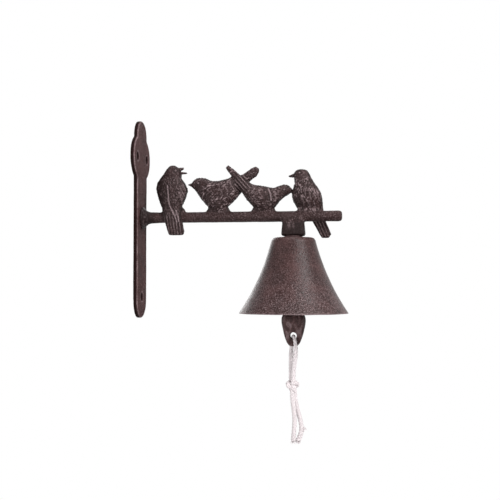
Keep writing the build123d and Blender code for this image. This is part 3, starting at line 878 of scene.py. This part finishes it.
# Thickness along a strand: pinched in the hole and fluffy below it, at shares of its length
HOLE_PINCH = 0.86
PINCH_END, PINCH_GONE = 0.05, 0.1
FLUFF = 0.22
FLUFF_START, FLUFF_FULL = 0.1, 0.18

# Knot: half sizes of the trefoil, and its thickness against the cord's
KNOT_MIDDLE = (-1.0, 0.0, -45.4)
KNOT_ACROSS = 1.45
KNOT_HIGH = 1.42
KNOT_DEEP = 2.7
KNOT_SWELL = 1.18
KNOT_STEPS = 120

# Loose fibres: ranges of their sizes, and the run of one as shares of its length, flare and curl
FIBRE_RADIUS = 0.17
FIBRE_THINNING = 0.22
FIBRE_STEPS = 4
FIBRE_SINK = (0.6, 1.6)
FIBRE_OFFSET = (0.1, 0.85)
FIBRE_FLARE = (0.2, 1.0)
FIBRE_LENGTH = (1.6, 4.2)
FIBRE_RUN = ((0.0, 0.0, 0.0), (0.45, 0.3, 0.0), (0.8, 0.8, 0.5), (1.0, 1.2, 1.0))
FIBRE_GROOVE_SHADE = 0.3
END_STEPS = 8
TUFT_START = (6.6, 1.0, -80.0)
TUFT_LEAN = 0.28
TUFT_FALL = 0.5


def hole_place(point):
    return Vector((bell_x, 0, CORD_HOLE_Z)) + Vector(point)


def route_points(name, points):
    """Places along the smooth NURBS line that the route's points control, in millimetres."""
    curve = add_curve(name, ROUTE_STEPS)
    add_run(curve, [hole_place(point) for point in points])
    guide = add_object(name, curve)
    mesh = bpy.data.meshes.new_from_object(guide)
    places = [vertex.co / MM for vertex in mesh.vertices]
    bpy.data.objects.remove(guide)
    return places


def write_tail_shade(piece):
    """Keeps the painted shade on the cord: none at the clapper, and full from just above the knot downwards, where
    the cord is better lit.
    """
    places, _ = read_points(piece)
    below = CORD_HOLE_Z - places[:, 2]
    # Painted shade, full from just above the knot downwards
    tail_shade = smooth_step(below, -KNOT_MIDDLE[2] - TAIL_SHADE_START, -KNOT_MIDDLE[2] - TAIL_SHADE_FULL)
    write_attribute(piece, "tail_shade", tail_shade)


def line_tangents(places, closed):
    tangents = []
    count = len(places)
    for index in range(count):
        before = places[index - 1] if closed or index else places[0]
        after = places[(index + 1) % count] if closed or index < count - 1 else places[-1]
        tangents.append((after - before).normalized())
    return tangents


def tube_faces(count, around, closed):
    """Faces of a tube of rings, with its ends closed where it isn't a loop."""
    faces = []
    for ring in range(count if closed else count - 1):
        near, far = ring * around, (ring + 1) % count * around
        for step in range(around):
            beside = (step + 1) % around
            faces.append((near + step, near + beside, far + beside, far + step))
    if not closed:
        faces.append(tuple(range(around))[::-1])
        faces.append(tuple((count - 1) * around + step for step in range(around)))
    return faces


def twisted_tube(name, places, radius, closed=False, taper=None):
    """Rope of laid strands along a line, with the depth of its grooves kept for the painted shade in them."""
    around = STRAND_SIDES * STRANDS
    lobe = 2 * pi / STRANDS
    count = len(places)
    tangents = line_tangents(places, closed)
    normal = tangents[0].orthogonal().normalized()
    points, grooves = [], []
    travelled = 0.0
    for index, (place, tangent) in enumerate(zip(places, tangents)):
        if index:
            travelled += (place - places[index - 1]).length
        normal = (normal - tangent * normal.dot(tangent)).normalized()
        binormal = tangent.cross(normal)
        swell = radius * (taper(index / (count - 1)) if taper else 1)
        for step in range(around):
            angle = 2 * pi * step / around
            within = (angle + lobe / 2) % lobe - lobe / 2
            reach = STRAND_OFFSET * cos(within) + sqrt(STRAND_SIZE**2 - (STRAND_OFFSET * sin(within)) ** 2)
            turn = angle + 2 * pi * travelled / LAY_PITCH
            points.append(place + (normal * cos(turn) + binormal * sin(turn)) * swell * reach)
            grooves.append(ramp(reach, GROOVE_START, GROOVE_FULL))
    piece = mesh_piece(name, points, tube_faces(count, around, closed))
    write_attribute(piece, "groove_shade", grooves)
    write_tail_shade(piece)
    activate(piece)
    bpy.ops.object.shade_smooth_by_angle(angle=radians(70))
    return piece


def knot_line():
    """Overhand knot, pulled small: a closed trefoil with its crossings lifted apart."""
    middle = hole_place(KNOT_MIDDLE)
    line = []
    for step in range(KNOT_STEPS):
        t = 2 * pi * step / KNOT_STEPS
        across = KNOT_ACROSS * (sin(t) + 2 * sin(2 * t))
        high = KNOT_HIGH * (cos(t) - 2 * cos(2 * t))
        deep = KNOT_DEEP * sin(3 * t)
        line.append(middle + Vector((across, deep, high)))
    return line


def make_fray(name, places, fibres, seed, spread):
    """Loose cotton fibres at a cut end."""
    dice = random.Random(seed)
    tip = places[-1]
    out = (places[-1] - places[-END_STEPS]).normalized()
    side = out.orthogonal().normalized()
    other = out.cross(side)
    curve = add_curve(name, FIBRE_STEPS)
    curve.bevel_depth = FIBRE_RADIUS * MM
    curve.bevel_resolution = 1
    for _ in range(fibres):
        angle = dice.uniform(0, 2 * pi)
        away = side * cos(angle) + other * sin(angle)
        root = tip - out * dice.uniform(*FIBRE_SINK) + away * CORD_RADIUS * dice.uniform(*FIBRE_OFFSET)
        flare = spread * dice.uniform(*FIBRE_FLARE)
        length = dice.uniform(*FIBRE_LENGTH)
        curl = Vector((dice.uniform(-1, 1), dice.uniform(-1, 1), dice.uniform(-0.5, 0.5)))
        points = [root + out * length * down + away * flare * wide + curl * bend for down, wide, bend in FIBRE_RUN]
        for index, control in enumerate(add_run(curve, points).points):
            control.radius = 1 - FIBRE_THINNING * index
    piece = add_object(name, curve)
    activate(piece)
    bpy.ops.object.convert(target="MESH")
    # Loose fibres get a little of the grooves' painted shade
    write_attribute(piece, "groove_shade", np.full(len(piece.data.vertices), FIBRE_GROOVE_SHADE))
    write_tail_shade(piece)
    return piece


def make_strand(name, line, end_share, end_swell):
    """Strand that is tight in the clapper's hole, fluffy below it, and open at its cut end."""

    def thickness(share):
        pinch = HOLE_PINCH + (1 - HOLE_PINCH) * ramp(share, PINCH_END, PINCH_GONE)
        fluff = FLUFF * ramp(share, FLUFF_START, FLUFF_FULL)
        return pinch + fluff + end_swell * max(share - end_share, 0) / (1 - end_share)

    return twisted_tube(name, line, CORD_RADIUS, taper=thickness)


def make_cord():
    cotton = cotton_finish()
    front_line = route_points("front_route", FRONT_STRAND)
    back_line = route_points("back_route", BACK_STRAND)
    tuft_x, tuft_y, tuft_z = TUFT_START
    tuft_line = [
        hole_place((tuft_x + TUFT_LEAN * step, tuft_y, tuft_z - TUFT_FALL * step)) for step in range(END_STEPS + 1)
    ]
    front = make_strand("cord_front_strand", front_line, end_share=0.93, end_swell=0.12)
    back = make_strand("cord_back_strand", back_line, end_share=0.9, end_swell=0.2)
    knot = twisted_tube("pull_knot", knot_line(), KNOT_SWELL * CORD_RADIUS, closed=True)
    front_fray = make_fray("front_frayed_end", front_line, fibres=70, seed=4, spread=1.0)
    back_fray = make_fray("back_frayed_end", back_line, fibres=90, seed=9, spread=1.6)
    tuft = make_fray("loose_tuft", tuft_line, fibres=45, seed=2, spread=1.3)
    for piece in (front, back, knot, front_fray, back_fray, tuft):
        finish_piece(piece, cotton, "cord", "cord_knot" if piece == knot else None)
    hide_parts("cord_loop", "cord_tail_straight")
    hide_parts("cord_tail_bowed")
    for piece, line, extras in ((front, front_line, [knot, front_fray]), (back, back_line, [back_fray, tuft])):
        length = sum((after - before).length for before, after in zip(line, line[1:]))
        line[0] * MM
        [place * MM for place in line]


def make_hardware():
    steel = steel_finish()
    painted = iron_finish("spacer_iron", sparkle=0.1)
    for name in ("branch_screw", "eye_bolt", "lug_spacer", "crown_washer", "crown_nut", "clapper_link"):
        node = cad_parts[name]
        node.data.materials.clear()
        node.data.materials.append(painted if name == "lug_spacer" else steel)


# Stage: angles in degrees, lengths in millimetres

CAMERA_AZIMUTH = 8.2
CAMERA_ELEVATION = -2.1
CAMERA_DISTANCE = 865.0
CAMERA_TARGET = (105.6, 0.0, -30.5)
CAMERA_FIELD = 29.7
CAMERA_SENSOR = 36
CAMERA_NEAR = 10
FLOOR_Z = -262.0
FLOOR_SIZE = 6000
FLOOR_PAINT = (0.8, 0.8, 0.8, 1)
WHITE = (1, 1, 1, 1)
AMBIENT = 0.36
LAMP_TARGET = (110, 0, -20)

# Each lamp's place, size and watts
LAMPS = {
    "key_softbox": ((640, -470, 500), (120, 300), 8.2),
    "top_softbox": ((150, -60, 640), (320, 160), 1.6),
    "front_softbox": ((120, -900, -120), (700, 500), 2.3),
    "fill_softbox": ((-760, -460, -60), (700, 600), 3.3),
    "back_softbox": ((-160, 880, 240), (700, 500), 2.6),
}


def aim(item, place, target):
    item.location = Vector(place) * MM
    item.rotation_euler = (Vector(target) - Vector(place)).to_track_quat("-Z", "Y").to_euler()


def make_camera():
    azimuth, elevation = radians(CAMERA_AZIMUTH), radians(CAMERA_ELEVATION)
    away = Vector((sin(azimuth) * cos(elevation), -cos(azimuth) * cos(elevation), sin(elevation)))
    data = bpy.data.cameras.new("camera")
    data.sensor_width = CAMERA_SENSOR
    data.angle = radians(CAMERA_FIELD)
    data.clip_start = CAMERA_NEAR * MM
    camera = add_object("camera", data)
    aim(camera, Vector(CAMERA_TARGET) + away * CAMERA_DISTANCE, CAMERA_TARGET)
    bpy.context.scene.camera = camera


def make_lamp(name, place, size_mm, watts):
    data = bpy.data.lights.new(name, "AREA")
    data.shape = "RECTANGLE"
    data.size, data.size_y = size_mm[0] * MM, size_mm[1] * MM
    data.energy = watts
    aim(add_object(name, data), place, LAMP_TARGET)


def shown_rays(nodes):
    """1 for rays from the camera, or by way of gloss or clear matter."""
    camera, glossy, clear = (
        nodes.node("ShaderNodeLightPath", output=f"Is {ray} Ray") for ray in ("Camera", "Glossy", "Transmission")
    )
    return camera.math("MAXIMUM", camera.math("MAXIMUM", camera, glossy), clear)


def make_world():
    """Soft light from all round, and plain white where it is seen."""
    world = bpy.data.worlds.new("white_studio")
    bpy.context.scene.world = world
    nodes = Nodes(world)
    soft = nodes.node("ShaderNodeBackground", inputs={"Color": WHITE, "Strength": AMBIENT})
    white = nodes.node("ShaderNodeBackground", inputs={"Color": WHITE})
    shown = nodes.node("ShaderNodeMixShader", inputs={0: shown_rays(nodes), 1: soft, 2: white})
    nodes.node("ShaderNodeOutputWorld", inputs={"Surface": shown})


def make_floor():
    """Pale floor, clear from below so that the bell's inside can be seen from there."""
    deselect()
    bpy.ops.mesh.primitive_plane_add(size=FLOOR_SIZE * MM, location=(0, 0, FLOOR_Z * MM))
    floor = bpy.context.object
    floor.name = "floor"
    material = bpy.data.materials.new("pale_floor")
    nodes = Nodes(material)
    paint = nodes.node("ShaderNodeBsdfDiffuse", inputs={"Color": FLOOR_PAINT})
    white = nodes.node("ShaderNodeEmission", inputs={"Color": WHITE})
    shown = nodes.node("ShaderNodeMixShader", inputs={0: shown_rays(nodes), 1: paint, 2: white})
    below = nodes.node("ShaderNodeNewGeometry", output="Backfacing")
    clear = nodes.node("ShaderNodeBsdfTransparent")
    sided = nodes.node("ShaderNodeMixShader", inputs={0: below, 1: shown, 2: clear})
    nodes.node("ShaderNodeOutputMaterial", inputs={"Surface": sided})
    floor.data.materials.append(material)


def make_stage():
    bpy.context.scene.view_settings.view_transform = "Standard"
    make_camera()
    make_world()
    for name, (place, size_mm, watts) in LAMPS.items():
        make_lamp(name, place, size_mm, watts)
    make_floor()


make_stage()
make_cord()
make_bird_branch()
make_bell()
make_wall_plate()
make_clapper()
make_hardware()
